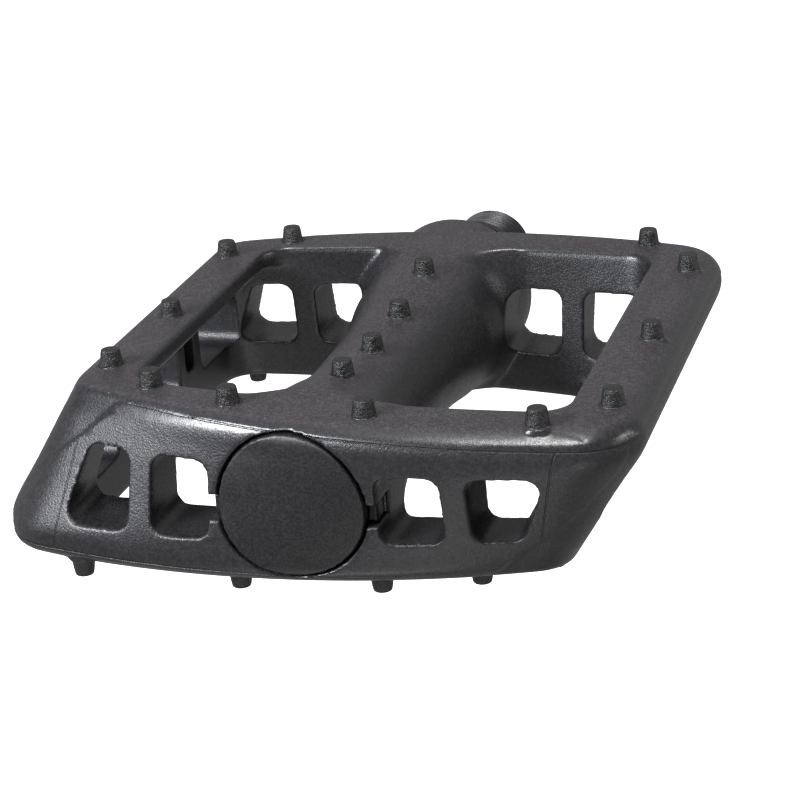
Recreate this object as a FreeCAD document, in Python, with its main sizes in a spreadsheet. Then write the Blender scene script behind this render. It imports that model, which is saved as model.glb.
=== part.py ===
import FreeCAD, Part
import math
import os
import re

import Sketcher

# A flat platform pedal. The origin is the centre of the spindle's shoulder, where it seats on a crank arm.
# +Y runs along the spindle towards the crank, so the platform lies at negative Y, and +Z is up.
# The platform turns on two rows of loose balls. It looks the same after half a turn about the spindle.

Vector = FreeCAD.Vector
Rotation = FreeCAD.Rotation
Placement = FreeCAD.Placement

HALF_TURN = Rotation(Vector(0, 1, 0), 180)
END_FOR_END = Rotation(Vector(1, 0, 0), 180)

DIMENSIONS = [
    # platform: a parallelogram in section, bowed and twisted at its two ends
    ("mid_y", -62.2, "platform middle, from the shoulder"),
    ("half_thick", 13, "half the platform thickness"),
    ("half_width", 45.65, "half the platform width at mid height"),
    ("side_lean", 7.65, "how far a side wall leans out from mid height to the top"),
    ("half_length", 46.1, "platform middle to the end faces, on the axis"),
    ("end_bow", 0.0034, "bow of the end faces, per mm of width squared"),
    ("end_twist", 0.0128, "twist of the end faces, per mm of width and mm of height"),
    ("rim_round", 2.8, "rim rounding where a wall is upright"),
    ("rim_gain", 2.7, "extra rim rounding per unit of outward lean"),
    ("corner_mean", 9.5, "plan corner radius at mid height"),
    ("corner_gain", 3.5, "extra plan corner radius where the wall leans out"),
    # openings: one hollow with twisted ends, less the lip of each side rail and the barrel
    ("open_half_y", 35.6, "platform middle to the hollow's end walls, on the axis"),
    ("open_bow", 0.0021, "bow of those walls, per mm of width squared"),
    ("open_twist", 0.006, "twist of those walls, per mm of width and mm of height"),
    ("open_round", 5, "plan corner radius of the hollow"),
    ("recess_x", 38.4, "hollow half width, below a side rail's lip"),
    ("mouth_break", 0.9, "how far the hollow's mouths are rounded over"),
    ("lip_x", 29.3, "inner edge of a lip, from the axis"),
    ("lip_z", 9.8, "underside of a lip, from mid height"),
    ("lip_corner_y", 27.6, "start of a lip's rounded corner, from the platform middle"),
    ("lip_end_x", 25.15, "end of that corner, from the axis"),
    ("lip_end_y", 32.55, "end of that corner, from the platform middle"),
    ("lip_break", 0.8, "edge radius of a lip"),
    ("gusset_x", 35.8, "gusset below a lip, from the axis"),
    ("gusset_z", 7.1, "foot of that gusset, from mid height"),
    # windows
    ("window_half_z", 5.7, "window half height"),
    ("window_round", 2.2, "window corner radius"),
    ("inner_window_near", 13, "inner end window, from the axis"),
    ("inner_window_far", 22.2, "inner end window, far side"),
    ("outer_window_near", 26.2, "outer end window, from the axis"),
    ("outer_window_far", 35.1, "outer end window, far side at mid height"),
    ("outer_window_lean", 2.1, "lean of that side over the half height"),
    ("side_window_half", 8.75, "middle side window, half length"),
    ("side_window_near", 18.8, "end side window, from the platform middle"),
    ("side_window_far", 33.5, "end side window, far side"),
    ("slot_near", 11.7, "slot in a rib, from the platform middle"),
    ("slot_far", 16, "slot in a rib, far side"),
    ("slot_half_z", 3.6, "slot half height"),
    ("slot_depth", 3.2, "slot depth"),
    # barrel
    ("barrel_r", 10.1, "barrel radius along its straight middle"),
    ("boss_r", 13.5, "inboard boss radius"),
    ("boss_root_r", 12.4, "radius of the boss where it leaves the platform"),
    ("boss_y", -11.5, "inboard boss end face"),
    ("boss_round", 1.4, "boss edge radius"),
    ("bore_r", 6.9, "bore between the cups"),
    # traction pins
    ("pin_r", 1.8, "pin radius at its foot"),
    ("pin_tip_r", 1.45, "pin radius at its tip"),
    ("pin_high", 2.65, "pin height"),
    ("pin_tip_break", 0.3, "broken edge of the tip"),
    ("pin_collar_r", 1.95, "raised ring round the foot"),
    ("pin_collar_high", 0.15, "height of that ring"),
    # end cap
    ("cap_hole_r", 11.45, "cap cavity radius"),
    ("cap_hole_y", -97, "cap cavity floor"),
    ("cap_r", 11.15, "cap radius"),
    ("cap_thick", 2.2, "cap disc thickness on the axis"),
    ("cap_edge", 0.35, "cap edge radius"),
    ("cap_skirt_r", 10.9, "cap skirt outer radius"),
    ("cap_skirt_wall", 1.3, "cap skirt wall"),
    ("cap_skirt_y", -98.4, "cap skirt inner end"),
    ("cap_tab_r", 12.5, "cap tab reach"),
    ("cap_tab_half_z", 1.45, "cap tab half height"),
    ("cap_tab_in", 2.4, "cap tab, behind the end face"),
    ("cap_tab_long", 3, "cap tab length"),
    ("notch_half_z", 1.7, "half height of the notch round a tab"),
    ("notch_z", -0.9, "middle of the tabs and notches, from the axis"),
    ("notch_long", 6, "notch depth behind the end face"),
    # bearings: loose 1/8 inch balls
    ("ball_r", 1.5875, "ball radius"),
    ("race_r", 1.6175, "race radius, a running clearance larger than the ball"),
    ("in_y", -17.2, "inboard ball row"),
    ("in_pitch", 8.2, "inboard ball circle radius"),
    ("out_y", -91.5, "outboard ball row"),
    ("out_pitch", 6.6, "outboard ball circle radius"),
    ("cup_wall", 1.3, "cup wall"),
    ("cup_floor", 1.4, "cup floor"),
    ("cup_mouth", 2.2, "cup mouth, from the ball row"),
    ("in_cup_hole", 7.3, "hole in the inboard cup floor"),
    ("out_cup_hole", 5.7, "hole in the outboard cup floor"),
    ("cup_break", 0.35, "broken edge of the cups"),
    # dust seal
    ("seal_lip_r", 11.9, "seal lip radius"),
    ("seal_lip", 1.9, "seal lip width, outside the boss"),
    ("seal_gap", 0.12, "seal to spindle"),
    # spindle
    ("thread_r", 7.14, "crank thread outer radius: 9/16 inch"),
    ("thread_pitch", 1.27, "crank thread pitch: 20 per inch"),
    ("thread_depth", 0.74, "crank thread depth"),
    ("thread_long", 14, "crank thread, from the shoulder"),
    ("thread_lead", 0.9, "lead-in at the thread's end"),
    ("relief_r", 6.2, "thread relief radius"),
    ("relief_long", 1.5, "thread relief width"),
    ("flange_r", 9.2, "shoulder flange radius"),
    ("flange_thick", 1.6, "shoulder flange thickness"),
    ("collar_r", 8.6, "collar radius"),
    ("flats_half", 7.5, "half the distance over the wrench flats"),
    ("flats_long", 5.6, "wrench flats length"),
    ("shaft_in_r", 5.4, "shaft radius near the inboard row"),
    ("shaft_out_r", 4.5, "shaft radius near the outboard row"),
    ("stud_r", 3.9, "outboard thread radius"),
    ("stud_y", -86.5, "start of the outboard thread"),
    ("tip_y", -104, "outboard end of the spindle"),
    ("tip_break", 0.5, "broken edge of that end"),
    ("key_half", 0.8, "half width of the keyway"),
    ("key_depth", 0.8, "depth of the keyway"),
    ("key_y", -94.5, "inner end of the keyway"),
    ("socket_half", 3, "half the distance over the hexagon socket"),
    ("socket_deep", 8, "depth of the hexagon socket"),
    # adjusting cone, washer and nut
    ("cone_neck", 2.4, "cone neck, past the ball row"),
    ("cone_flange_r", 7.5, "cone flange radius"),
    ("cone_flange", 1.5, "cone flange thickness"),
    ("cone_back_r", 6.2, "cone back radius"),
    ("cone_back", 2.9, "cone back length"),
    ("washer_r", 6.1, "tab washer radius"),
    ("washer_thick", 1, "tab washer thickness"),
    ("nut_half", 6, "half the distance over the nut's flats"),
    ("nut_thick", 3.8, "lock nut thickness"),
]

INBOARD_BALLS = 14
OUTBOARD_BALLS = 12

# The pins of the top side, from the platform middle: X towards the rail that leans out, Y towards the crank,
# and the height of the surface that each stands on.
RAIL_PINS = [
    (-34.5, -27.3),
    (-33.5, -4.3),
    (-35, 26.7),
    (-26, 35.7),
    (36.5, 40.7),
    (45.5, 28.2),
    (45.5, -4.8),
    (45, -32.8),
    (36, -41.8),
    (10.5, -41.8),
    (-11, -39.8),
    (-25, -34.8),
]
BARREL_PINS = [
    (1.5, 23.2, 12.25),
    (1.5, 7.7, 10.2),
    (1.5, -7.8, 9.95),
    (1.5, -23.3, 11.55),
]
PIN_ROOT = 3.0
THREAD_TURNS = 8

ALIASES = {name for name, _, _ in DIMENSIONS}

doc = FreeCAD.newDocument("flat_pedal")
sheet = doc.addObject("Spreadsheet::Sheet", "dims")


def fill_sheet():
    """One row for each driving dimension: its name, its value and what it measures."""
    for row, (name, value, note) in enumerate(DIMENSIONS, start=1):
        sheet.set(f"A{row}", name)
        sheet.set(f"B{row}", str(value))
        sheet.set(f"C{row}", note)
        sheet.setAlias(f"B{row}", name)
    doc.recompute()


def size(rule):
    """The value of a sheet expression such as 'in_y + race_r'."""
    return float(sheet.evalExpression(rule))


def linked(rule):
    """The same expression as another object has to write it."""
    return re.sub(r"[a-z]\w*", lambda m: f"dims.{m[0]}" if m[0] in ALIASES else m[0], rule)


def bind(item, prop, rule):
    item.setExpression(prop, linked(rule))


def put(item, x="0", y="0", z="0", turn=Rotation()):
    """Place an object by sheet expressions, turned first."""
    item.Placement = Placement(Vector(size(x), size(y), size(z)), turn)
    for axis, rule in (("x", x), ("y", y), ("z", z)):
        if rule != "0":
            bind(item, f"Placement.Base.{axis}", rule)
    return item


def fix_point(sketch, edge, end, corner):
    """Hold one corner of a sketch at sheet expressions, measured from the sketch's origin."""
    for kind, rule, axis in (("DistanceX", corner[0], -2), ("DistanceY", corner[1], -1)):
        if rule == "0":
            sketch.addConstraint(Sketcher.Constraint("PointOnObject", edge, end, axis))
            continue
        index = sketch.addConstraint(Sketcher.Constraint(kind, -1, 1, edge, end, size(rule)))
        name = f"{kind}_{edge}_{end}"
        sketch.renameConstraint(index, name)
        bind(sketch, f"Constraints.{name}", rule)


def upright_arc(start, middle, end):
    """An anticlockwise arc through three points, and the numbers of its two ends in the order given."""
    circle = Part.Circle(start, middle, end)
    angles = [math.atan2(p.y - circle.Center.y, p.x - circle.Center.x) for p in (start, middle, end)]
    turn = 2 * math.pi
    forward = (angles[1] - angles[0]) % turn < (angles[2] - angles[0]) % turn
    first, last = (angles[0], angles[2]) if forward else (angles[2], angles[0])
    flat = Part.Circle(circle.Center, Vector(0, 0, 1), circle.Radius)
    return Part.ArcOfCircle(flat, first, first + (last - first) % turn), (1, 2) if forward else (2, 1)


def outline_sketch(body, plane, corners, arcs=None):
    """A closed outline on one of the body's own origin planes. arcs maps an edge's number to its middle point."""
    arcs = arcs or {}
    sketch = body.newObject("Sketcher::SketchObject", f"{body.Name}_outline")
    support = [item for item in body.Origin.OriginFeatures if item.Role == plane]
    sketch.AttachmentSupport = [(support[0], "")]
    sketch.MapMode = "FlatFace"
    points = [Vector(size(x), size(y), 0) for x, y in corners]
    count = len(points)
    ends = []
    for edge in range(count):
        start = points[edge]
        end = points[(edge + 1) % count]
        if edge in arcs:
            middle = Vector(size(arcs[edge][0]), size(arcs[edge][1]), 0)
            arc, ends_of_arc = upright_arc(start, middle, end)
            sketch.addGeometry(arc)
            ends.append(ends_of_arc)
        else:
            sketch.addGeometry(Part.LineSegment(start, end))
            ends.append((1, 2))
    for edge in range(count):
        after = (edge + 1) % count
        sketch.addConstraint(Sketcher.Constraint("Coincident", edge, ends[edge][1], after, ends[after][0]))
        fix_point(sketch, edge, ends[edge][0], corners[edge])
        if edge in arcs:
            sketch.addConstraint(Sketcher.Constraint("Radius", edge, sketch.Geometry[edge].Radius))
    return sketch


def edges_of(shape, wanted):
    """Names of the shape's edges that pass a test."""
    return [f"Edge{i}" for i, edge in enumerate(shape.Edges, start=1) if wanted(edge)]


def new_body(name):
    body = doc.addObject("PartDesign::Body", name)
    body.Label = name
    return body


def dress(body, kind, name, rule, wanted):
    """A Fillet or Chamfer on the edges of the body's tip that pass a test."""
    doc.recompute()
    base = body.Tip
    dressed = body.newObject(f"PartDesign::{kind}", f"{body.Name}_{name}")
    dressed.Base = (base, edges_of(base.Shape, wanted))
    prop = "Radius" if kind == "Fillet" else "Size"
    setattr(dressed, prop, size(rule))
    bind(dressed, prop, rule)
    body.Tip = dressed
    return dressed


def turned(name, corners, arcs=None):
    """A body turned about Y. Each corner is (radius, distance along Y)."""
    body = new_body(name)
    sketch = outline_sketch(body, "XY_Plane", corners, arcs)
    turning = body.newObject("PartDesign::Revolution", f"{name}_turning")
    turning.Profile = sketch
    turning.ReferenceAxis = (sketch, ["V_Axis"])
    turning.Angle = 360
    body.Tip = turning
    return body


def padded(name, plane, corners, depth, side_type="Symmetric", rounding=None, arcs=None):
    """A body padded from an outline, with its corners rounded along the pad."""
    body = new_body(name)
    sketch = outline_sketch(body, plane, corners, arcs)
    pad = body.newObject("PartDesign::Pad", f"{name}_pad")
    pad.Profile = sketch
    pad.SideType = side_type
    bind(pad, "Length", depth)
    body.Tip = pad
    if rounding:
        doc.recompute()
        normal = sketch.Placement.Rotation.multVec(Vector(0, 0, 1))

        def along(edge):
            return type(edge.Curve).__name__ == "Line" and abs(edge.Curve.Direction.dot(normal)) > 0.999

        dress(body, "Fillet", "corners", rounding, along)
    return body


def block(x0, x1, y0, y1):
    """The corners of a rectangle, as sheet expressions."""
    return [(x0, y0), (x1, y0), (x1, y1), (x0, y1)]


def joined(name, pieces):
    fused = doc.addObject("Part::MultiFuse", name)
    fused.Shapes = pieces
    return fused


def removed(name, base, tool):
    cut = doc.addObject("Part::Cut", name)
    cut.Base = base
    cut.Tool = tool
    return cut


def kept(name, base, tool):
    common = doc.addObject("Part::Common", name)
    common.Base = base
    common.Tool = tool
    return common


def is_circle(edge, radius, y):
    """True for a circle of this radius about the Y axis, at this Y."""
    if type(edge.Curve).__name__ != "Circle":
        return False
    centre = edge.Curve.Center
    return abs(edge.Curve.Radius - radius) < 1e-4 and abs(centre.y - y) < 1e-4


# ---- platform blank ---------------------------------------------------------------------------------


def rounded_wall(mid, lean, z):
    """How far out a leaning wall stands at height z, with its rim rounded over to the top and bottom faces."""
    half = size("half_thick")
    if z < 0:
        lean, z = -lean, -z
    radius = size("rim_round") + size("rim_gain") * lean
    tilt = math.atan(lean)
    centre_z = half - radius
    if z <= centre_z - radius * math.sin(tilt):
        return mid + lean * z
    centre = mid + lean * half - radius / math.tan((math.pi / 2 - tilt) / 2)
    return centre + math.sqrt(max(0.0, radius**2 - (z - centre_z) ** 2))


def end_face(x, z):
    """How far the end face stands from the platform middle."""
    bowed = size("half_length") - size("end_bow") * x * x
    return rounded_wall(bowed, size("end_twist") * x, z)


def ring_wire(z, left, right, round_left, round_right, reach):
    """A closed outline at height z: straight sides at left and right, bowed ends at plus and minus reach(x)."""
    middle = (left + right) / 2
    probes = [left + round_left, middle, right - round_right]
    bow = Part.Circle(*[Vector(x, reach(x), 0) for x in probes])
    centre = bow.Center

    def corner(x_side, radius, sign):
        """Where a corner arc starts on the side, its middle, and where it meets the bowed end."""
        x = x_side - sign * radius
        rise = math.sqrt((bow.Radius - radius) ** 2 - (x - centre.x) ** 2)
        hub = Vector(x, centre.y + rise, 0)
        out = (hub - centre).normalize()
        halfway = (out + Vector(sign, 0, 0)).normalize()
        return Vector(x_side, hub.y, 0), hub + halfway * radius, centre + out * bow.Radius

    r_side, r_half, r_end = corner(right, round_right, 1)
    l_side, l_half, l_end = corner(left, round_left, -1)
    crown = Vector(middle, centre.y + math.sqrt(bow.Radius**2 - (middle - centre.x) ** 2), 0)

    def at(point, flip=1):
        return Vector(point.x, point.y * flip, z)

    edges = [
        Part.LineSegment(at(r_side, -1), at(r_side)),
        Part.Arc(at(r_side), at(r_half), at(r_end)),
        Part.Arc(at(r_end), at(crown), at(l_end)),
        Part.Arc(at(l_end), at(l_half), at(l_side)),
        Part.LineSegment(at(l_side), at(l_side, -1)),
        Part.Arc(at(l_side, -1), at(l_half, -1), at(l_end, -1)),
        Part.Arc(at(l_end, -1), at(crown, -1), at(r_end, -1)),
        Part.Arc(at(r_end, -1), at(r_half, -1), at(r_side, -1)),
    ]
    return Part.Wire([edge.toShape() for edge in edges])


def blank_wire(z):
    """The platform's outline at height z."""
    half = size("half_thick")
    lean = size("side_lean") / half
    right = rounded_wall(size("half_width"), lean, z)
    left = -rounded_wall(size("half_width"), -lean, z)
    inset_right = size("half_width") + lean * z - right
    inset_left = size("half_width") - lean * z + left
    round_right = size("corner_mean") + size("corner_gain") * z / half - inset_right
    round_left = size("corner_mean") - size("corner_gain") * z / half - inset_left
    return ring_wire(z, left, right, round_left, round_right, lambda x: end_face(x, z))


def hollow_wire(z):
    """The hollow's outline at height z, opening out in two slopes at its mouths."""
    lip = size("mouth_break")
    depth = abs(z) - size("half_thick") + lip
    flare = max(0.0, depth * 0.5, depth * 1.5 - lip * 0.5)
    side = size("recess_x") + flare
    corner = size("open_round") + flare

    def reach(x):
        return size("open_half_y") - size("open_bow") * x * x + size("open_twist") * x * z + flare

    return ring_wire(z, -side, side, corner, corner, reach)


def make_blank():
    """The outer form, lofted through its outline at many heights, closer together where the rims round over."""
    half = size("half_thick")
    below_top = [0, 0.1, 0.35, 0.8, 1.5, 2.6, 4.2, 6.5, 10.5]
    upper = [half - step for step in below_top]
    levels = [-z for z in upper] + upper[::-1]
    blank = doc.addObject("Part::Feature", "platform_blank")
    blank.Shape = Part.makeLoft([blank_wire(z) for z in levels], True, False)
    return put(blank, y="mid_y")


# ---- what is taken out of the blank ------------------------------------------------------------------


def make_hollow():
    """The space inside the platform's rim, full height, with mouths at the top and bottom."""
    half = size("half_thick")
    lip = size("mouth_break")
    upper = [half + 0.6, half - lip / 2, half - lip]
    levels = [-z for z in upper] + upper[::-1]
    hollow = doc.addObject("Part::Feature", "platform_hollow")
    hollow.Shape = Part.makeLoft([hollow_wire(z) for z in levels], True, True)
    return put(hollow, y="mid_y")


def rail_lips():
    """The lip of each side rail and the gusset below it, kept out of the hollow."""
    corners = [
        ("-lip_x - 20", "-half_length"),
        ("-lip_end_x", "-half_length"),
        ("-lip_end_x", "-lip_end_y"),
        ("-lip_x", "-lip_corner_y"),
        ("-lip_x", "lip_corner_y"),
        ("-lip_end_x", "lip_end_y"),
        ("-lip_end_x", "half_length"),
        ("-lip_x - 20", "half_length"),
    ]
    arcs = {2: ("-lip_x + 1.18", "-lip_corner_y - 3.24"), 4: ("-lip_x + 1.18", "lip_corner_y + 3.24")}
    gusset = [
        ("-lip_x - 20", "gusset_z"),
        ("-recess_x - 0.2", "gusset_z"),
        ("-gusset_x", "lip_z + 0.2"),
        ("-gusset_x", "half_thick - 1"),
        ("-lip_x - 20", "half_thick - 1"),
    ]
    pieces = []
    for side, turn, rise in (("left", Rotation(), "lip_z"), ("right", HALF_TURN, "-lip_z")):
        lip = padded(f"rail_lip_{side}", "XY_Plane", corners, "half_thick - lip_z", "One side", arcs=arcs)
        thick = size("half_thick - lip_z")

        def inner_edge(edge):
            if any(abs(v.Point.z - thick) > 1e-4 for v in edge.Vertexes):
                return False
            return type(edge.Curve).__name__ == "Circle" or edge.BoundBox.XMin > -size("lip_x") - 0.01

        dress(lip, "Fillet", "break", "lip_break", inner_edge)
        pieces.append(put(lip, y="mid_y", z=rise, turn=turn))
        web = padded(f"rail_gusset_{side}", "XZ_Plane", gusset, "2 * half_length")
        pieces.append(put(web, y="mid_y", turn=turn))
    return pieces


def barrel_form():
    """The barrel about the spindle, flared where it runs into the end rails."""
    corners = [
        ("0", "-46"),
        ("barrel_r + 9.2", "-46"),
        ("barrel_r + 9.2", "-36"),
        ("barrel_r + 2.7", "-29.5"),
        ("barrel_r + 1.8", "-24.5"),
        ("barrel_r", "-12"),
        ("barrel_r", "2"),
        ("barrel_r + 2.3", "23.5"),
        ("barrel_r + 2.7", "29.5"),
        ("barrel_r + 9.2", "36"),
        ("barrel_r + 9.2", "46"),
        ("0", "46"),
    ]
    arcs = {
        2: ("barrel_r + 4.6", "-34.1"),
        4: ("barrel_r + 0.6", "-18.2"),
        6: ("barrel_r + 0.75", "13"),
        8: ("barrel_r + 4.6", "34.1"),
    }
    return put(turned("barrel_form", corners, arcs), y="mid_y")


def end_window_cores():
    """Four windows along Y through each end rail, as two windows and their half-turn images."""
    top = "window_half_z"
    low = "-window_half_z"
    inner = block("inner_window_near", "inner_window_far", low, top)
    outer = [
        ("outer_window_near", low),
        ("outer_window_far - outer_window_lean", low),
        ("outer_window_far + outer_window_lean", top),
        ("outer_window_near", top),
    ]
    cores = []
    for label, outline in (("inner", inner), ("outer", outer)):
        for side, turn in (("a", Rotation()), ("b", HALF_TURN)):
            core = padded(
                f"{label}_window_core_{side}",
                "XZ_Plane",
                outline,
                "2 * half_length + 20",
                rounding="window_round",
            )
            cores.append(put(core, y="mid_y", turn=turn))
    return cores


def side_window_cores():
    """Three windows along X through each side wall, and a blind slot in each rib between them."""
    low = "-window_half_z"
    top = "window_half_z"
    middle = block("-side_window_half", "side_window_half", low, top)
    outboard = block("-side_window_far", "-side_window_near", low, top)
    inboard = block("side_window_near", "side_window_far", low, top)
    cores = []
    for label, outline in (("middle", middle), ("outboard", outboard), ("inboard", inboard)):
        for side, sign in (("left", "-"), ("right", "")):
            core = padded(
                f"{label}_side_core_{side}",
                "YZ_Plane",
                outline,
                "24",
                rounding="window_round",
            )
            cores.append(put(core, x=f"{sign}(recess_x + 10)", y="mid_y"))
    for label, near, far in (("outboard", "-slot_far", "-slot_near"), ("inboard", "slot_near", "slot_far")):
        for side, sign in (("left", "-"), ("right", "")):
            core = padded(
                f"{label}_slot_core_{side}",
                "YZ_Plane",
                block(near, far, "-slot_half_z", "slot_half_z"),
                "2 * slot_depth",
                rounding="slot_depth / 2",
            )
            cores.append(put(core, x=f"{sign}recess_x", y="mid_y"))
    return cores


def bore_core():
    """Everything turned out of the barrel: cap cavity, cup seats and the bore between them."""
    out_cup_r = "out_pitch + race_r + cup_wall"
    in_cup_r = "in_pitch + race_r + cup_wall"
    corners = [
        ("0", "mid_y - half_length - 6"),
        ("cap_hole_r", "mid_y - half_length - 6"),
        ("cap_hole_r", "cap_hole_y"),
        (out_cup_r, "cap_hole_y"),
        (out_cup_r, "out_y + race_r + cup_floor"),
        ("bore_r", "out_y + race_r + cup_floor"),
        ("bore_r", "in_y - race_r - cup_floor"),
        (in_cup_r, "in_y - race_r - cup_floor"),
        (in_cup_r, "boss_y + 3"),
        ("0", "boss_y + 3"),
    ]
    return turned("bore_core", corners)


def notch_cores():
    """The notches in the cavity wall that the end cap's tabs snap into."""
    cores = []
    for side, sign in (("left", "-"), ("right", "")):
        outline = block("-notch_half_z", "notch_half_z", "0", "notch_long + 4")
        core = padded(f"notch_core_{side}", "XY_Plane", outline, "4")
        upright = Rotation(Vector(0, 1, 0), 90)
        cores.append(put(core, x=f"{sign}(cap_hole_r + 1)", y="mid_y - half_length - 4", z="notch_z", turn=upright))
    return cores


# ---- what is added to it -----------------------------------------------------------------------------


def inboard_boss():
    corners = [
        ("0", "mid_y + half_length - 13"),
        ("boss_root_r", "mid_y + half_length - 13"),
        ("boss_r", "mid_y + half_length"),
        ("boss_r", "boss_y"),
        ("0", "boss_y"),
    ]
    boss = turned("inboard_boss", corners)
    dress(boss, "Fillet", "edge", "boss_round", lambda e: is_circle(e, size("boss_r"), size("boss_y")))
    return boss


def pin(name, x, y, z, turn):
    """A moulded pin: a tapered stub with a broken tip and a thin ring round its foot."""
    stub = doc.addObject("Part::Cone", f"{name}_stub")
    bind(stub, "Radius1", f"pin_r + {PIN_ROOT} * (pin_r - pin_tip_r) / pin_high")
    bind(stub, "Radius2", "pin_tip_r")
    bind(stub, "Height", f"{PIN_ROOT} + pin_high - pin_tip_break")
    tip = doc.addObject("Part::Cone", f"{name}_tip")
    bind(tip, "Radius1", "pin_tip_r")
    bind(tip, "Radius2", "pin_tip_r - pin_tip_break")
    bind(tip, "Height", "pin_tip_break")
    ring = doc.addObject("Part::Cone", f"{name}_ring")
    bind(ring, "Radius1", "pin_collar_r + 0.3")
    bind(ring, "Radius2", "pin_r")
    bind(ring, "Height", "pin_collar_high + 0.3")
    sign = -1 if turn == HALF_TURN else 1
    x = x * sign
    for item, rise in ((stub, f"{z} - {PIN_ROOT}"), (tip, f"{z} + pin_high - pin_tip_break"), (ring, f"{z} - 0.3")):
        put(item, x=str(x), y=f"mid_y + {y}", z=f"{sign} * ({rise})", turn=turn)
    return [stub, tip, ring]


def traction_pins():
    pieces = []
    places = [(x, y, "half_thick") for x, y in RAIL_PINS] + [(x, y, str(z)) for x, y, z in BARREL_PINS]
    for side, turn in (("top", Rotation()), ("bottom", HALF_TURN)):
        for number, (x, y, z) in enumerate(places, start=1):
            pieces += pin(f"pin_{side}_{number:02d}", x, y, z, turn)
    return pieces


# ---- the pieces --------------------------------------------------------------------------------------


def pedal_body(blank):
    kept_in = joined("rails_and_barrel", rail_lips() + [barrel_form()])
    frame = removed("frame_open", blank, removed("openings", make_hollow(), kept_in))
    windows = joined("window_all", end_window_cores() + side_window_cores())
    frame = removed("frame_windowed", frame, windows)
    frame = joined("frame_with_boss", [frame, inboard_boss()])
    frame = removed("frame_bored", frame, joined("bore_all", [bore_core()] + notch_cores()))
    body = joined("pedal_body", [frame] + traction_pins())
    return body


def end_cap(blank):
    """A disc that carries on the end face, a skirt in the cavity and two tabs that sit in the notches."""
    face_y = "mid_y - half_length"
    plug = turned(
        "cap_plug",
        [
            ("0", f"{face_y} - 4"),
            ("cap_r", f"{face_y} - 4"),
            ("cap_r", f"{face_y} + cap_thick"),
            ("cap_skirt_r", f"{face_y} + cap_thick"),
            ("cap_skirt_r", "cap_skirt_y"),
            ("cap_skirt_r - cap_skirt_wall", "cap_skirt_y"),
            ("cap_skirt_r - cap_skirt_wall", f"{face_y} + cap_thick"),
            ("0", f"{face_y} + cap_thick"),
        ],
    )
    disc = kept("cap_disc", blank, plug)
    tab = doc.addObject("Part::Box", "cap_tabs")
    bind(tab, "Length", "2 * cap_tab_r")
    bind(tab, "Width", "cap_tab_long")
    bind(tab, "Height", "2 * cap_tab_half_z")
    put(tab, x="-cap_tab_r", y=f"{face_y} + cap_tab_in", z="notch_z - cap_tab_half_z")
    hollow = doc.addObject("Part::Cylinder", "cap_hollow")
    bind(hollow, "Radius", "cap_skirt_r - cap_skirt_wall")
    bind(hollow, "Height", "20")
    put(hollow, y=f"{face_y} + cap_thick + 20", turn=Rotation(Vector(1, 0, 0), 90))
    return removed("end_cap", joined("cap_whole", [disc, tab]), hollow)


def bearing_cup(name, pitch, hole, place, turn):
    """A cup whose race faces +Y before it is turned; its origin is the middle of the ball row."""
    wall = f"{pitch} + race_r"
    corners = [
        (hole, "-race_r - cup_floor"),
        (f"{wall} + cup_wall", "-race_r - cup_floor"),
        (f"{wall} + cup_wall", "cup_mouth"),
        (wall, "cup_mouth"),
        (wall, "-race_r"),
        (hole, "-race_r"),
    ]
    cup = turned(name, corners)
    dress(cup, "Fillet", "race", "race_r", lambda e: is_circle(e, size(wall), size("-race_r")))
    outer = size(f"{wall} + cup_wall")
    ends = (size("-race_r - cup_floor"), size("cup_mouth"))
    dress(cup, "Chamfer", "edges", "cup_break", lambda e: any(is_circle(e, outer, y) for y in ends))
    return put(cup, y=place, turn=turn)


def dust_seal():
    """A rubber ring pressed in the boss, with a lip that covers the joint."""
    seat = "in_pitch + race_r + cup_wall"
    hole = "collar_r + seal_gap"
    corners = [
        (hole, "in_y + cup_mouth"),
        (seat, "in_y + cup_mouth"),
        (seat, "boss_y"),
        ("seal_lip_r", "boss_y"),
        ("seal_lip_r", "boss_y + seal_lip * 0.45"),
        ("seal_lip_r - 1.5", "boss_y + seal_lip"),
        (hole, "boss_y + seal_lip"),
    ]
    return turned("dust_seal", corners)


def thread_grooves():
    """The crank thread's V grooves, drawn as rings of the thread's own pitch and depth."""
    corners = []
    for turn in range(THREAD_TURNS):
        middle = f"thread_long - thread_lead - {turn + 0.6:.1f} * thread_pitch"
        corners.append(("thread_r", f"{middle} + 0.44 * thread_pitch"))
        corners.append(("thread_r - thread_depth", middle))
        corners.append(("thread_r", f"{middle} - 0.44 * thread_pitch"))
    return corners


def spindle():
    """The axle: crank thread, shoulder, wrench flats, inboard cone, tapered shaft and outboard thread."""
    neck = "in_pitch - race_r"
    corners = [
        ("0", "thread_long"),
        ("thread_r - thread_lead", "thread_long"),
        ("thread_r", "thread_long - thread_lead"),
        *thread_grooves(),
        ("thread_r", "relief_long + 0.6"),
        ("relief_r", "relief_long"),
        ("relief_r", "relief_long - 0.6"),
        ("thread_r + 0.1", "0"),
        ("flange_r", "0"),
        ("flange_r", "-flange_thick"),
        ("collar_r", "-flange_thick"),
        ("collar_r", "in_y + race_r"),
        (neck, "in_y + race_r"),
        (neck, "in_y - race_r"),
        ("shaft_in_r", "in_y - 9"),
        ("shaft_out_r", "stud_y + 3"),
        ("stud_r", "stud_y"),
        ("stud_r", "tip_y + tip_break"),
        ("stud_r - tip_break", "tip_y"),
        ("0", "tip_y"),
    ]
    axle = turned("spindle", corners)
    dress(axle, "Fillet", "race", "race_r", lambda e: is_circle(e, size(neck), size("in_y + race_r")))
    cut_flats(axle)
    cut_keyway(axle)
    cut_socket(axle)
    return axle


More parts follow.
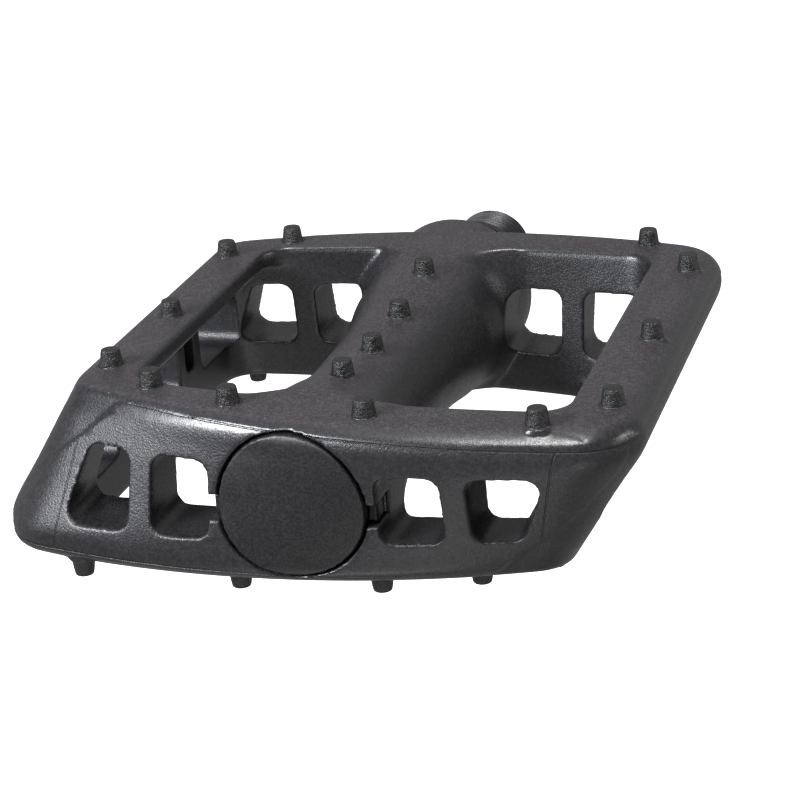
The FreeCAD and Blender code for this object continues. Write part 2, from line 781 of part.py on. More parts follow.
def pocket(body, name, plane, corners, depth, side_type, offset=None, reverse=False):
    """A pocket from an outline on an origin plane, or on a plane offset from it along its normal."""
    doc.recompute()
    before = body.Shape.Volume
    sketch = outline_sketch(body, plane, corners)
    sketch.Label = f"{body.Name}_{name}_outline"
    if offset:
        sketch.AttachmentOffset = Placement(Vector(0, 0, size(offset)), Rotation())
        bind(sketch, "AttachmentOffset.Base.z", offset)
    cut = body.newObject("PartDesign::Pocket", f"{body.Name}_{name}")
    cut.Profile = sketch
    cut.SideType = side_type
    cut.Reversed = reverse
    bind(cut, "Length", depth)
    body.Tip = cut
    doc.recompute()
    if body.Shape.Volume >= before - 0.1:
        raise RuntimeError(f"{name} cut nothing")


def cut_flats(axle):
    for side, sign in (("left", "-"), ("right", "")):
        outline = block(f"{sign}flats_half", f"{sign}(flange_r + 2)", "-flange_thick - flats_long", "-flange_thick")
        pocket(axle, f"flat_{side}", "XY_Plane", outline, "3 * flange_r", "Symmetric")


def cut_keyway(axle):
    outline = block("-key_half", "key_half", "tip_y - 1", "key_y")
    pocket(axle, "keyway", "XY_Plane", outline, "3", "One side", offset="stud_r - key_depth", reverse=True)


def cut_socket(axle):
    across_corners = "socket_half / cos(30deg)"
    corners = []
    for step in range(6):
        angle = 60 * step
        corners.append((f"{across_corners} * cos({angle}deg)", f"{across_corners} * sin({angle}deg)"))
    corners = [(x, "0" if step in (0, 3) else y) for step, (x, y) in enumerate(corners)]
    pocket(axle, "socket", "XZ_Plane", corners, "socket_deep", "One side", offset="-thread_long", reverse=True)


def outboard_cone():
    """The adjusting cone, its race facing +Y; its origin is the middle of the ball row."""
    neck = "out_pitch - race_r"
    corners = [
        ("stud_r", "cone_neck"),
        (neck, "cone_neck"),
        (neck, "-race_r"),
        ("cone_flange_r", "-race_r"),
        ("cone_flange_r", "-race_r - cone_flange"),
        ("cone_back_r", "-race_r - cone_flange"),
        ("cone_back_r", "-race_r - cone_flange - cone_back"),
        ("stud_r", "-race_r - cone_flange - cone_back"),
    ]
    cone = turned("outboard_cone", corners)
    dress(cone, "Fillet", "race", "race_r", lambda e: is_circle(e, size(neck), size("-race_r")))
    return put(cone, y="out_y")


CONE_BACK_Y = "out_y - race_r - cone_flange - cone_back"


def ring(name, radius, thick, back_y):
    """A flat ring on the outboard thread, from back_y outwards."""
    disc = doc.addObject("Part::Cylinder", f"{name}_disc")
    bind(disc, "Radius", radius)
    bind(disc, "Height", thick)
    hole = doc.addObject("Part::Cylinder", f"{name}_hole")
    bind(hole, "Radius", "stud_r")
    bind(hole, "Height", thick)
    for item in (disc, hole):
        put(item, y=back_y, turn=Rotation(Vector(1, 0, 0), 90))
    return disc, hole


def tab_washer():
    """A washer with an inner tab that sits in the spindle's keyway."""
    disc, hole = ring("tab_washer", "washer_r", "washer_thick", CONE_BACK_Y)
    tab = doc.addObject("Part::Box", "washer_tab")
    bind(tab, "Length", "2 * key_half - 0.1")
    bind(tab, "Width", "washer_thick")
    bind(tab, "Height", "key_depth + 0.4")
    put(tab, x="-key_half + 0.05", y=f"{CONE_BACK_Y} - washer_thick", z="stud_r - key_depth + 0.1")
    return joined("tab_washer", [removed("washer_ring", disc, hole), tab])


def lock_nut():
    """A hexagon nut with its corners chamfered."""
    back_y = f"{CONE_BACK_Y} - washer_thick"
    prism = doc.addObject("Part::Prism", "nut_prism")
    prism.Polygon = 6
    bind(prism, "Circumradius", "nut_half / cos(30deg)")
    bind(prism, "Height", "nut_thick")
    put(prism, y=back_y, turn=Rotation(Vector(1, 0, 0), 90))
    blunt = doc.addObject("Part::Cone", "nut_blunting")
    bind(blunt, "Radius1", "nut_half * 1.6")
    bind(blunt, "Radius2", "nut_half * 0.98")
    bind(blunt, "Height", "nut_thick")
    put(blunt, y=back_y, turn=Rotation(Vector(1, 0, 0), 90))
    hole = doc.addObject("Part::Cylinder", "nut_hole")
    bind(hole, "Radius", "stud_r")
    bind(hole, "Height", "nut_thick")
    put(hole, y=back_y, turn=Rotation(Vector(1, 0, 0), 90))
    return removed("lock_nut", kept("nut_form", prism, blunt), hole)


def ball_row(prefix, count, pitch, place):
    """Loose balls evenly spaced about the spindle, each a piece of its own."""
    balls = []
    for number in range(count):
        ball = doc.addObject("Part::Sphere", f"{prefix}_{number + 1:02d}")
        bind(ball, "Radius", "ball_r")
        angle = f"({number} * 360deg / {count})"
        put(ball, x=f"{pitch} * cos{angle}", y=place, z=f"{pitch} * sin{angle}")
        balls.append(ball)
    return balls


def write_pieces(pieces):
    """Check every object of the document, then write one STEP file for each piece."""
    doc.recompute()
    for item in doc.Objects:
        if "Invalid" in item.State or "Error" in item.State:
            raise RuntimeError(f"{item.Label} failed: {item.State}")
    for piece in pieces:
        shape = piece.Shape
        if shape.isNull() or not shape.isValid():
            raise RuntimeError(f"{piece.Label} has no valid shape")
        if len(shape.Solids) != 1:
            raise RuntimeError(f"{piece.Label} has {len(shape.Solids)} solids")
        print(f"{piece.Label}: {shape.Volume:.1f} mm3, {len(shape.Faces)} faces")
    os.makedirs("parts", exist_ok=True)
    for piece in pieces:
        piece.Shape.exportStep(f"parts/{piece.Label}.step")


fill_sheet()
platform_blank = make_blank()
all_pieces = [
    pedal_body(platform_blank),
    end_cap(platform_blank),
    bearing_cup("inboard_cup", "in_pitch", "in_cup_hole", "in_y", Rotation()),
    bearing_cup("outboard_cup", "out_pitch", "out_cup_hole", "out_y", END_FOR_END),
    dust_seal(),
    spindle(),
    outboard_cone(),
    tab_washer(),
    lock_nut(),
]
all_pieces += ball_row("inboard_ball", INBOARD_BALLS, "in_pitch", "in_y")
all_pieces += ball_row("outboard_ball", OUTBOARD_BALLS, "out_pitch", "out_y")
write_pieces(all_pieces)
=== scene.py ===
import math
import random

import bmesh
import bpy
import numpy as np
from mathutils import Matrix, Vector


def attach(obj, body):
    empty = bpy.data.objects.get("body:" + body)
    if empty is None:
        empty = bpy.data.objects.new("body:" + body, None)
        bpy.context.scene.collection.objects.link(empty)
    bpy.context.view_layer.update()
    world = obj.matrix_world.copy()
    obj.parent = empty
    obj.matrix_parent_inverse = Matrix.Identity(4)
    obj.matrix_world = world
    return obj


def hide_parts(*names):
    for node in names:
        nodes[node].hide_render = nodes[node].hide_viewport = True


# The flat pedal as it looks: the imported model's parts with moulded, rubber and steel finishes, the platform's
# own edges softened as a moulding's are, and its pins drawn in finer detail.

# MID_Y, the platform's middle, and FLOOR_Z are in metres, as the frame is. The lengths after them are in mm.
MM = 0.001
MID_Y = -62.2 * MM
FLOOR_Z = -0.17

# The parting line below each rim tilts by SEAM_TILT along X. On the end faces, the upright ones lean.
SEAM_HEIGHT = 11.27
SEAM_TILT = 0.028
SEAM_WIDTH = 0.12
END_SEAM_X = 36.8
END_SEAM_LEAN = 0.227

# The wall above the parting line stands out by RIM_LIFT. The end walls stand out by END_SWELL at mid height,
# and by nothing from SWELL_HEIGHT on.
RIM_LIFT = 0.16
END_SWELL = 1.1
SWELL_HEIGHT = 12.2

# The remeshed pins are pressed flat within PIN_REACH of their axes, to PIN_SINK below the face they stand on.
PIN_REACH = 2.05
PIN_SINK = 0.03

# The pins of the top side, in mm from the platform middle: X, Y and the height each stands on.
TOP_PINS = [
    (-34.5, -27.3, 13),
    (-33.5, -4.3, 13),
    (-35, 26.7, 13),
    (-26, 35.7, 13),
    (36.5, 40.7, 13),
    (45.5, 28.2, 13),
    (45.5, -4.8, 13),
    (45, -32.8, 13),
    (36, -41.8, 13),
    (10.5, -41.8, 13),
    (-11, -39.8, 13),
    (-25, -34.8, 13),
    (1.5, 23.2, 12.25),
    (1.5, 7.7, 10.2),
    (1.5, -7.8, 9.95),
    (1.5, -23.3, 11.55),
]

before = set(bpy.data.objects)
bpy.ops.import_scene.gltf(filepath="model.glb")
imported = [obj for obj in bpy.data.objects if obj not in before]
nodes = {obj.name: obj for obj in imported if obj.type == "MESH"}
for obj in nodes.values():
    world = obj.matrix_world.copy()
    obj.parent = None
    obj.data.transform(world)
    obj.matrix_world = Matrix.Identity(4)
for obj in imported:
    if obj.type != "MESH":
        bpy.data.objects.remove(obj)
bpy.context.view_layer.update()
scene = bpy.context.scene


# ---- node helpers ------------------------------------------------------------------------------------


class Shader:
    """A material with short ways to add and join nodes."""

    def __init__(self, name):
        self.material = bpy.data.materials.new(name)
        self.material.use_nodes = True
        self.tree = self.material.node_tree
        self.tree.nodes.clear()
        self.output = self.add("ShaderNodeOutputMaterial")
        self.bsdf = self.add("ShaderNodeBsdfPrincipled")
        self.join(self.bsdf.outputs["BSDF"], self.output.inputs["Surface"])
        self.coords = self.add("ShaderNodeTexCoord")
        self.place = self.coords.outputs["Object"]

    def add(self, kind, **values):
        node = self.tree.nodes.new(kind)
        for key, value in values.items():
            setattr(node, key, value)
        return node

    def join(self, source, target):
        self.tree.links.new(source, target)

    def fill(self, socket, value):
        """Join a socket, or set it to a plain value."""
        if hasattr(value, "is_output"):
            self.join(value, socket)
        else:
            socket.default_value = value

    def noise(self, size, detail=2.0, rough=0.5, stretch=None):
        """Noise whose features are about size metres across. stretch scales it along X, Y and Z."""
        place = self.place
        if stretch:
            place = self.scaled(stretch)
        node = self.add("ShaderNodeTexNoise")
        node.inputs["Scale"].default_value = 1 / size
        node.inputs["Detail"].default_value = detail
        node.inputs["Roughness"].default_value = rough
        self.join(place, node.inputs["Vector"])
        return node.outputs["Fac"]

    def cells(self, size):
        """Scattered cells about size metres across, each with a colour of its own."""
        node = self.add("ShaderNodeTexVoronoi")
        node.inputs["Scale"].default_value = 1 / size
        self.join(self.place, node.inputs["Vector"])
        return node

    def scaled(self, factors):
        node = self.add("ShaderNodeMapping")
        node.inputs["Scale"].default_value = factors
        self.join(self.place, node.inputs["Vector"])
        return node.outputs["Vector"]

    def math(self, operation, a, b=0.0, clamp=False):
        node = self.add("ShaderNodeMath", operation=operation, use_clamp=clamp)
        self.fill(node.inputs[0], a)
        self.fill(node.inputs[1], b)
        return node.outputs[0]

    def times(self, a, b):
        return self.math("MULTIPLY", a, b)

    def minus(self, a, b):
        return self.math("SUBTRACT", a, b)

    def size_of(self, value):
        return self.math("ABSOLUTE", value)

    def ramp(self, value, low, high, to_low=0.0, to_high=1.0):
        """Value carried smoothly from [low, high] to [to_low, to_high]."""
        node = self.add("ShaderNodeMapRange", interpolation_type="SMOOTHSTEP")
        self.fill(node.inputs["Value"], value)
        for name, number in (("From Min", low), ("From Max", high), ("To Min", to_low), ("To Max", to_high)):
            node.inputs[name].default_value = number
        return node.outputs["Result"]

    def mix(self, factor, a, b):
        node = self.add("ShaderNodeMix", data_type="RGBA")
        self.fill(node.inputs["Factor"], factor)
        self.fill(node.inputs["A"], (*a, 1) if isinstance(a, tuple) else a)
        self.fill(node.inputs["B"], (*b, 1) if isinstance(b, tuple) else b)
        return node.outputs["Result"]

    def bump(self, height, distance, strength, under=None):
        node = self.add("ShaderNodeBump")
        node.inputs["Distance"].default_value = distance
        self.fill(node.inputs["Strength"], strength)
        self.join(height, node.inputs["Height"])
        if under:
            self.join(under, node.inputs["Normal"])
        return node.outputs["Normal"]

    def parts(self, vector):
        """A vector's X, Y and Z."""
        node = self.add("ShaderNodeSeparateXYZ")
        self.join(vector, node.inputs[0])
        return node.outputs

    def finish(self, colour, roughness, normal, specular=0.5, metallic=0.0):
        self.fill(self.bsdf.inputs["Base Color"], colour)
        self.fill(self.bsdf.inputs["Roughness"], roughness)
        self.join(normal, self.bsdf.inputs["Normal"])
        self.bsdf.inputs["Specular IOR Level"].default_value = specular
        self.bsdf.inputs["Metallic"].default_value = metallic
        return self.material


# ---- finishes ----------------------------------------------------------------------------------------


def parting_lines(s, place, level):
    """The mould's seams on the outer walls: one below each rim, and upright ones on the end faces."""
    height, width = SEAM_HEIGHT * MM, SEAM_WIDTH * MM
    end_wall, side_wall, edge = 39.3 * MM, 41.2 * MM, 0.5 * MM
    tilted = s.size_of(s.math("ADD", place[2], s.times(place[0], SEAM_TILT)))
    leaned = s.size_of(s.minus(place[0], s.times(place[2], END_SEAM_LEAN)))
    wobble = s.ramp(s.noise(0.004), 0.3, 0.7, 0.00002, 0.00009)
    rim_line = s.ramp(s.minus(s.size_of(s.minus(tilted, height)), wobble), 0.0, width, 1.0, 0.0)
    end_line = s.ramp(s.minus(s.size_of(s.minus(leaned, END_SEAM_X * MM)), wobble), 0.0, width, 1.0, 0.0)
    on_end = s.ramp(s.size_of(s.minus(place[1], MID_Y)), end_wall, end_wall + edge)
    on_side = s.ramp(s.size_of(place[0]), side_wall, side_wall + edge)
    below_rim = s.ramp(tilted, height, height - 0.0001)
    rim_line = s.times(rim_line, s.math("MAXIMUM", on_end, on_side))
    end_line = s.times(s.times(end_line, on_end), below_rim)
    on_wall = s.ramp(level, 0.7, 0.5)
    return s.times(s.math("MAXIMUM", rim_line, end_line), on_wall)


def nylon():
    """Glass-filled nylon: grained walls, smoother rounded rims, and paler worn faces under the shoe."""
    s = Shader("nylon_moulded")
    place = s.parts(s.place)
    normal = s.parts(s.coords.outputs["Normal"])

    # level is 1 on a level face and 0 on a wall, and deep is the distance from the middle plane
    level = s.size_of(normal[2])
    deep = s.size_of(place[2])
    tread = s.times(s.ramp(level, 0.62, 0.97), s.ramp(deep, 0.0062, 0.0088))
    rim = s.times(s.ramp(level, 0.25, 0.5), s.ramp(level, 0.97, 0.8))
    rim = s.times(rim, s.ramp(deep, 0.0082, 0.0102))

    grain = s.noise(0.0003, 2.0, 0.6)
    speck = s.noise(0.0007, 4.0, 0.75)
    cloud = s.noise(0.011, 3.0, 0.6)
    flow = s.noise(0.02, 4.0, 0.55, (1.0, 0.35, 1.6))
    wall = s.mix(s.ramp(speck, 0.36, 0.66), (0.005, 0.0048, 0.0056), (0.015, 0.0145, 0.0168))
    worn = s.mix(s.ramp(cloud, 0.3, 0.7), (0.021, 0.0186, 0.0208), (0.034, 0.0302, 0.0334))
    worn = s.mix(s.ramp(speck, 0.44, 0.58, 0.0, 0.8), worn, (0.052, 0.0472, 0.051))
    worn = s.mix(s.ramp(grain, 0.44, 0.58, 0.0, 0.85), worn, (0.012, 0.0108, 0.0118))
    colour = s.mix(tread, wall, worn)
    colour = s.mix(s.ramp(flow, 0.55, 0.8, 0.0, 0.35), colour, (0.012, 0.0118, 0.012))

    # specks of dust, in about a third of the cells
    dust = s.cells(0.0042)
    dust_size = s.ramp(dust.outputs["Distance"], 0.012, 0.03, 1.0, 0.0)
    chance = s.ramp(s.parts(dust.outputs["Color"])[0], 0.62, 0.64)
    colour = s.mix(s.times(s.times(dust_size, chance), 0.5), colour, (0.3, 0.29, 0.27))

    seam_and_painted_shade = parting_lines(s, place, level)
    # painted shade: the seams are darkened in colour, standing in for the shade in their step; the seam's
    # groove itself is real and bumped in below
    colour = s.mix(s.times(seam_and_painted_shade, 0.8), colour, (0.003, 0.003, 0.003))
    rough = s.ramp(grain, 0.3, 0.7, 0.34, 0.46)
    rough = s.math("ADD", rough, s.times(tread, 0.12))
    rough = s.math("SUBTRACT", rough, s.times(rim, 0.12), clamp=True)
    relief = s.bump(cloud, 0.0004, 0.12)
    relief = s.bump(speck, 0.00003, 0.5, relief)
    calm = s.math("MAXIMUM", s.times(rim, 0.85), s.times(tread, 0.1))
    relief = s.bump(grain, 0.00007, s.minus(1.0, calm), relief)
    relief = s.bump(s.times(seam_and_painted_shade, -1.0), 0.0002, 0.8, relief)
    return s.finish(colour, rough, relief)


def pin_nylon():
    """The pins' own finish: darker and more coarsely grained than the platform's."""
    s = Shader("nylon_pins")
    grain = s.noise(0.0003, 4.0, 0.8)
    cloud = s.noise(0.0012, 2.0, 0.5)
    dark = s.mix(s.ramp(grain, 0.4, 0.64), (0.0025, 0.0025, 0.0028), (0.012, 0.0118, 0.0128))
    colour = s.mix(s.ramp(cloud, 0.4, 0.8, 0.0, 0.5), dark, (0.007, 0.0068, 0.007))
    rough = s.ramp(grain, 0.3, 0.7, 0.26, 0.5)
    normal = s.bump(cloud, 0.0005, 0.6)
    normal = s.bump(grain, 0.00014, 0.9, normal)
    return s.finish(colour, rough, normal)


def pin_ring():
    """The ring of smoother skin round a pin's foot."""
    s = Shader("nylon_pin_ring")
    grain = s.noise(0.00028, 3.0, 0.7)
    colour = s.mix(s.ramp(grain, 0.35, 0.65), (0.012, 0.0117, 0.012), (0.035, 0.034, 0.035))
    rough = s.ramp(grain, 0.3, 0.7, 0.24, 0.4)
    return s.finish(colour, rough, s.bump(grain, 0.00004, 0.5))


def cap_plastic():
    """Smoother satin plastic with faint rub marks."""
    s = Shader("cap_satin")
    grain = s.noise(0.00035, 3.0, 0.7)
    cloud = s.noise(0.006, 3.0, 0.6)
    rub = s.noise(0.0011, 5.0, 0.7, (0.25, 1.0, 2.2))
    colour = s.mix(s.ramp(grain, 0.38, 0.64), (0.006, 0.0058, 0.0063), (0.014, 0.0136, 0.0144))
    colour = s.mix(s.ramp(rub, 0.6, 0.8, 0.0, 0.3), colour, (0.03, 0.029, 0.028))
    rough = s.math("ADD", s.ramp(grain, 0.3, 0.7, 0.34, 0.44), s.ramp(cloud, 0.4, 0.7, 0.0, 0.08))
    normal = s.bump(cloud, 0.0003, 0.15)
    normal = s.bump(grain, 0.00004, 0.6, normal)
    return s.finish(colour, rough, normal, specular=0.36)


def rubber():
    s = Shader("seal_rubber")
    grain = s.noise(0.0005, 3.0, 0.6)
    colour = s.mix(s.ramp(grain, 0.35, 0.7), (0.006, 0.006, 0.006), (0.016, 0.016, 0.016))
    rough = s.ramp(grain, 0.3, 0.7, 0.22, 0.36)
    return s.finish(colour, rough, s.bump(grain, 0.00004, 0.4))


def black_steel():
    """Black oxide over turned steel: fine rings, with thinner oxide in blotches."""
    s = Shader("spindle_black_oxide")
    turned = s.noise(0.0016, 3.0, 0.7, (0.02, 14.0, 0.02))
    blotch = s.noise(0.0035, 4.0, 0.6)
    colour = s.mix(s.ramp(turned, 0.3, 0.7), (0.028, 0.028, 0.03), (0.055, 0.054, 0.056))
    colour = s.mix(s.ramp(blotch, 0.58, 0.75, 0.0, 0.5), colour, (0.13, 0.125, 0.12))
    rough = s.ramp(blotch, 0.3, 0.7, 0.3, 0.45)
    normal = s.bump(turned, 0.00006, 0.4)
    return s.finish(colour, rough, normal, metallic=0.85)


def turned_steel():
    s = Shader("steel_turned")
    turned = s.noise(0.0012, 3.0, 0.7, (0.02, 14.0, 0.02))
    blotch = s.noise(0.004, 4.0, 0.6)
    colour = s.mix(s.ramp(turned, 0.3, 0.7), (0.36, 0.36, 0.37), (0.5, 0.5, 0.5))
    colour = s.mix(s.ramp(blotch, 0.55, 0.8, 0.0, 0.6), colour, (0.24, 0.2, 0.15))
    rough = s.ramp(blotch, 0.3, 0.7, 0.22, 0.4)
    return s.finish(colour, rough, s.bump(turned, 0.00005, 0.35), metallic=1.0)


def ball_steel():
    s = Shader("steel_ball")
    film = s.noise(0.0012, 3.0, 0.6)
    scratch = s.noise(0.0002, 2.0, 0.5)
    colour = s.mix(s.ramp(film, 0.45, 0.75), (0.62, 0.62, 0.64), (0.42, 0.38, 0.3))
    rough = s.ramp(film, 0.4, 0.75, 0.06, 0.24)
    return s.finish(colour, rough, s.bump(scratch, 0.000004, 0.3), metallic=1.0)


# ---- pieces ------------------------------------------------------------------------------------------


def new_object(name, mesh, body):
    """A new piece that moves with one of the frame's bodies."""
    piece = bpy.data.objects.new(name, mesh)
    scene.collection.objects.link(piece)
    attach(piece, body)
    return piece


def evaluated(piece, name):
    """A mesh of its own from the piece with its modifiers applied."""
    graph = bpy.context.evaluated_depsgraph_get()
    mesh = bpy.data.meshes.new_from_object(piece.evaluated_get(graph))
    mesh.name = name
    return mesh


def mesh_arrays(mesh):
    """The vertices' places and normals as arrays."""
    count = len(mesh.vertices)
    place = np.empty(count * 3, dtype=np.float32)
    normal = np.empty(count * 3, dtype=np.float32)
    mesh.vertices.foreach_get("co", place)
    mesh.vertex_normals.foreach_get("vector", normal)
    return place.reshape(-1, 3), normal.reshape(-1, 3)


def soften_area(work, area, turns):
    """Smooth one area of a mesh further. area gives each point's share, from 0 to 1."""
    place, _ = mesh_arrays(work.data)
    share = area(place)
    group = work.vertex_groups.new(name="area")
    for level in (0.2, 0.4, 0.6, 0.8, 1.0):
        group.add(np.flatnonzero(share >= level).tolist(), level, "REPLACE")
    rounder = work.modifiers.new("rounder", "SMOOTH")
    rounder.factor = 0.5
    rounder.iterations = turns
    rounder.vertex_group = "area"
    work.data = evaluated(work, "rounded_skin")
    work.modifiers.clear()
    work.vertex_groups.clear()


def fade(value, start, over):
    """A share that goes from 0 at start to 1 at start + over. over may be negative."""
    return np.clip((value - start) / over, 0, 1)


def eased(share):
    """A share of 0 to 1 with soft ends."""
    return share * share * (3 - 2 * share)


def opening_rims(place):
    """The rims round the two big openings, on both sides of the platform."""
    half_width, half_length, lowest = 43.5 * MM, 39.5 * MM, 8.2 * MM
    inside = (np.abs(place[:, 1] - MID_Y) < half_length) & (np.abs(place[:, 0]) < half_width)
    return 1.0 * (inside & (np.abs(place[:, 2]) > lowest))


def upright_corners(place):
    """The platform's four outer corners, beside and above the end windows and below the rims."""
    across = np.abs(place[:, 0]) / MM
    along = np.abs(place[:, 1] - MID_Y) / MM
    height = np.abs(place[:, 2]) / MM
    beside = fade(across, 36, 3)
    above = fade(across, 26, 4) * fade(height, 6.8, 1)
    at_end = fade(along, 36, 3)
    below_rim = fade(height, 11.4, -1.2)
    return np.maximum(beside, above) * at_end * below_rim


def moulded(node, name, voxel, rounds, keep, material, shape, areas=()):
    """A platform part with edges softened as a moulding's are: a fine even remesh, smoothed, then thinned.

    voxel is the remesh's size in mm, rounds the times it is smoothed and keep the share of faces kept. areas
    lists the areas to smooth further with their turns, and shape changes the mesh before it is thinned.
    """
    work = bpy.data.objects.new("work", nodes[node].data.copy())
    scene.collection.objects.link(work)
    work.data.materials.clear()
    remesh = work.modifiers.new("even", "REMESH")
    remesh.mode = "VOXEL"
    remesh.voxel_size = voxel * MM
    remesh.use_smooth_shade = True
    soften = work.modifiers.new("soften", "SMOOTH")
    soften.factor = 0.5
    soften.iterations = rounds
    work.data = evaluated(work, "even_skin")
    work.modifiers.clear()
    for area, turns in areas:
        soften_area(work, area, turns)
    shape(work.data)
    thin = work.modifiers.new("thin", "DECIMATE")
    thin.ratio = keep
    mesh = evaluated(work, name)
    bpy.data.objects.remove(work)
    mesh.shade_smooth()
    piece = new_object(name, mesh, "platform")
    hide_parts(node)
    mesh.materials.append(material)


def put_back(mesh, place):
    """Move the vertices to the places in an array."""
    mesh.vertices.foreach_set("co", place.reshape(-1))
    mesh.update()


def swollen_end(place, normal):
    """How far each point of an outer end wall stands out, in mm: a moulded wall is fullest at mid height."""
    along = (place[:, 1] - MID_Y) / MM
    end = np.sign(along)
    full = np.clip(1 - np.abs(place[:, 2] / MM / SWELL_HEIGHT) ** 3, 0, 1)
    at_end = np.abs(along) > 39
    facing = eased(fade(normal[:, 1] * end, 0.2, 0.75)) * at_end
    return END_SWELL * full * facing * end


def full_cap(mesh):
    """Carry the cap out with the end wall round it."""
    place, normal = mesh_arrays(mesh)
    place[:, 1] += swollen_end(place, normal) * MM
    put_back(mesh, place)


def sunk_pins(place):
    """Press the remeshed pins flat, in place: traction_pins() draws them afresh."""
    for side in (1, -1):
        for x, y, z in TOP_PINS:
            near = np.hypot(place[:, 0] / MM - side * x, (place[:, 1] - MID_Y) / MM - y) < PIN_REACH
            base = z - PIN_SINK
            high = side * place[:, 2] / MM > base
            place[near & high, 2] = side * base * MM


def raised_rim(mesh):
    """Fill out the end walls, and carry the outer walls a hair outward above the parting line."""
    place, normal = mesh_arrays(mesh)
    across = place[:, 0] / MM
    along = (place[:, 1] - MID_Y) / MM
    end_wall, side_wall, outward = 43, 42, 0.25
    outer = (np.abs(along) > end_wall) & (normal[:, 1] * np.sign(along) > outward)
    outer |= (np.abs(across) > side_wall) & (normal[:, 0] * np.sign(across) > outward)
    over = np.abs(place[:, 2] / MM + SEAM_TILT * across) - SEAM_HEIGHT
    lift = eased(fade(over, -0.1, 0.35)) * outer * RIM_LIFT * MM
    place[:, :2] += normal[:, :2] * lift[:, None]
    place[:, 1] += swollen_end(place, normal) * MM
    sunk_pins(place)
    put_back(mesh, place)


def lathe(bm, profile, centre, flip, sides, material):
    """A turned form about an upright axis through centre. profile is a list of (radius, height).

    With flip it is carried half a turn about the spindle, to the other side of the platform.
    """
    rings = []
    for radius, height in profile:
        ring = []
        for k in range(sides):
            angle = 2 * math.pi * k / sides
            x = centre[0] + radius * math.cos(angle)
            y = centre[1] + radius * math.sin(angle)
            z = centre[2] + height
            if flip:
                x, z = -x, -z
            ring.append(bm.verts.new((x, y, z)))
        rings.append(ring)
    for low, high in zip(rings, rings[1:]):
        for k in range(sides):
            after = (k + 1) % sides
            face = bm.faces.new((low[k], low[after], high[after], high[k]))
            face.smooth = True
            face.material_index = material
    top = bm.faces.new(rings[-1])
    top.smooth = True
    top.material_index = material


def rounded_pin_profile(wear):
    """A pin's side from its foot to its tip, with a rounded tip edge; wear lowers and blunts it."""
    foot, tip, high, edge = 1.83, 1.47, 2.67 - wear, 0.22 + wear
    profile = [(foot + 0.05, -0.6), (foot, 0.1), (foot - 0.06, 0.5)]
    profile += [(foot + (tip - foot) * t, high * t) for t in (0.4, 0.6, 0.78)]
    steps = 5
    for step in range(steps + 1):
        angle = math.pi / 2 * step / steps
        profile.append((tip - edge + edge * math.cos(angle), high - edge + edge * math.sin(angle)))
    profile.append((0.5, high + 0.02))
    return [(r * MM, h * MM) for r, h in profile]


def traction_pins():
    """All 32 pins with their foot rings, each a little different in height and roundness."""
    pin_sides, ring_sides = 28, 32
    rng = random.Random(7)
    bm = bmesh.new()
    ring = [(2.0, -0.3), (1.98, 0.08), (1.95, 0.14), (1.9, 0.17), (1.86, 0.16), (1.82, 0.1), (1.8, 0.0)]
    ring = [(r * MM, h * MM) for r, h in ring]
    for flip in (False, True):
        for x, y, z in TOP_PINS:
            centre = (x * MM, MID_Y + y * MM, z * MM)
            lathe(bm, rounded_pin_profile(rng.uniform(0.0, 0.05)), centre, flip, pin_sides, 0)
            lathe(bm, ring, centre, flip, ring_sides, 1)
    bmesh.ops.recalc_face_normals(bm, faces=bm.faces)
    mesh = bpy.data.meshes.new("traction_pins")
    bm.to_mesh(mesh)
    bm.free()
    piece = new_object("traction_pins", mesh, "platform")
    mesh.materials.append(pin_nylon())
    mesh.materials.append(pin_ring())


def dress(names, material):
    """Give CAD nodes a finish."""
    for name in names:
        node = nodes[name]
        for slot in node.material_slots:
            slot.material = material
        if not node.material_slots:
            node.data.materials.append(material)


# ---- stage -------------------------------------------------------------------------------------------


def pale(name, value, glow):
    """A matt near-white finish that gives light of its own, so that the floor is evenly pale."""
    s = Shader(name)
    grain = s.noise(0.02, 3.0, 0.5)
    colour = s.mix(s.ramp(grain, 0.3, 0.7), (value, value, value), (value * 0.985,) * 3)
    s.finish(colour, 0.9, s.bump(grain, 0.0002, 0.05), specular=0.1)
    s.bsdf.inputs["Emission Color"].default_value = (1, 1, 1, 1)
    s.bsdf.inputs["Emission Strength"].default_value = glow
    return s.material


def build_floor():
    """A wide pale floor well below the pedal, which a crank arm holds in the air."""
    bm = bmesh.new()
    bmesh.ops.create_grid(bm, x_segments=8, y_segments=8, size=6)
    mesh = bpy.data.meshes.new("floor")
    bm.to_mesh(mesh)
    bm.free()
    floor = bpy.data.objects.new("floor", mesh)
    floor.location = (0, 0, FLOOR_Z)
    scene.collection.objects.link(floor)
    mesh.materials.append(pale("floor_pale", 0.9, 0.9))
    floor.visible_diffuse = False
    floor.visible_glossy = False
    floor.visible_shadow = False


def area_light(name, place, size, power, shade=(1, 1, 1)):
    """A soft box aimed at the platform's middle, which the camera doesn't see."""
    data = bpy.data.lights.new(name, "AREA")
    data.shape = "RECTANGLE"
    data.size, data.size_y = size
    data.energy = power
    data.color = shade
    light = bpy.data.objects.new(name, data)
    light.location = place
    aim = Vector((0, MID_Y, 0)) - Vector(place)
    light.rotation_euler = aim.to_track_quat("-Z", "Y").to_euler()
    light.visible_camera = False
    scene.collection.objects.link(light)


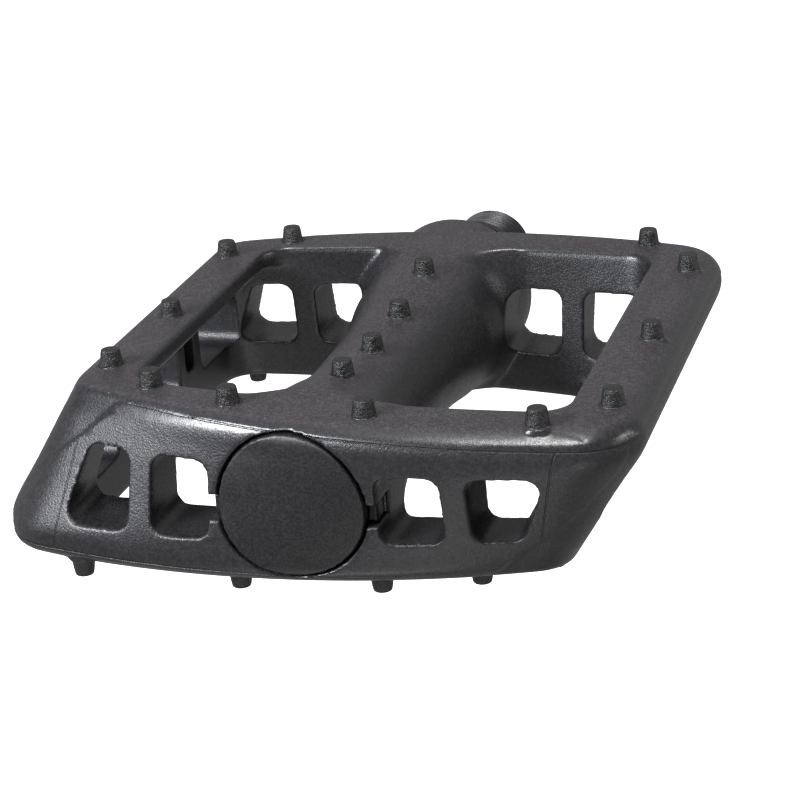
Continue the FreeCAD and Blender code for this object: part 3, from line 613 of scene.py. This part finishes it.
def build_light():
    world = bpy.data.worlds.new("studio")
    scene.world = world
    world.use_nodes = True
    background = world.node_tree.nodes["Background"]
    background.inputs["Color"].default_value = (1, 0.985, 1, 1)
    background.inputs["Strength"].default_value = 0.4
    area_light("front_left_box", (-0.29, -0.42, 0.245), (0.15, 0.15), 4.8, (0.92, 0.945, 1.0))
    area_light("top_box", (0.1, -0.4, 0.85), (0.3, 0.22), 6.8)
    area_light("right_box", (0.85, 0.1, 0.25), (0.3, 0.4), 2.5)
    area_light("low_front_box", (-0.03, -0.33, -0.5), (0.2, 0.2), 0.3)
    area_light("low_right_box", (0.36, -0.66, -0.42), (0.25, 0.25), 0.8)


def build_camera():
    """The photograph's view: a long lens, slightly right of and above the outboard end, tipped a little."""
    place = Vector((110.38, -407.54, 140.42)) * MM
    azimuth, elevation, roll = (math.radians(a) for a in (17.265, 21.432, -3.49))
    level = Vector((math.cos(azimuth), math.sin(azimuth), 0))
    flat = math.cos(elevation)
    back = Vector((math.sin(azimuth) * flat, -math.cos(azimuth) * flat, math.sin(elevation)))
    upward = back.cross(level)
    right = level * math.cos(roll) + upward * math.sin(roll)
    up = upward * math.cos(roll) - level * math.sin(roll)
    data = bpy.data.cameras.new("camera")
    data.lens = 108
    data.sensor_width = 36
    data.clip_start = 0.01
    camera = bpy.data.objects.new("camera", data)
    rotation = Matrix((right, up, back)).transposed()
    camera.matrix_world = Matrix.Translation(place) @ rotation.to_4x4()
    scene.collection.objects.link(camera)
    scene.camera = camera


build_camera()
moulded(
    "pedal_body",
    "platform_skin",
    voxel=0.3,
    rounds=8,
    keep=0.2,
    material=nylon(),
    shape=raised_rim,
    areas=((opening_rims, 40), (upright_corners, 160)),
)
moulded(
    "end_cap",
    "cap_skin",
    voxel=0.2,
    rounds=3,
    keep=0.3,
    material=cap_plastic(),
    shape=full_cap,
)
traction_pins()
dress(["dust_seal"], rubber())
dress(["spindle"], black_steel())
dress(["inboard_cup", "outboard_cup", "outboard_cone", "tab_washer", "lock_nut"], turned_steel())
dress([name for name in nodes if "_ball_" in name], ball_steel())
build_floor()
build_light()
scene.view_settings.view_transform = "Standard"
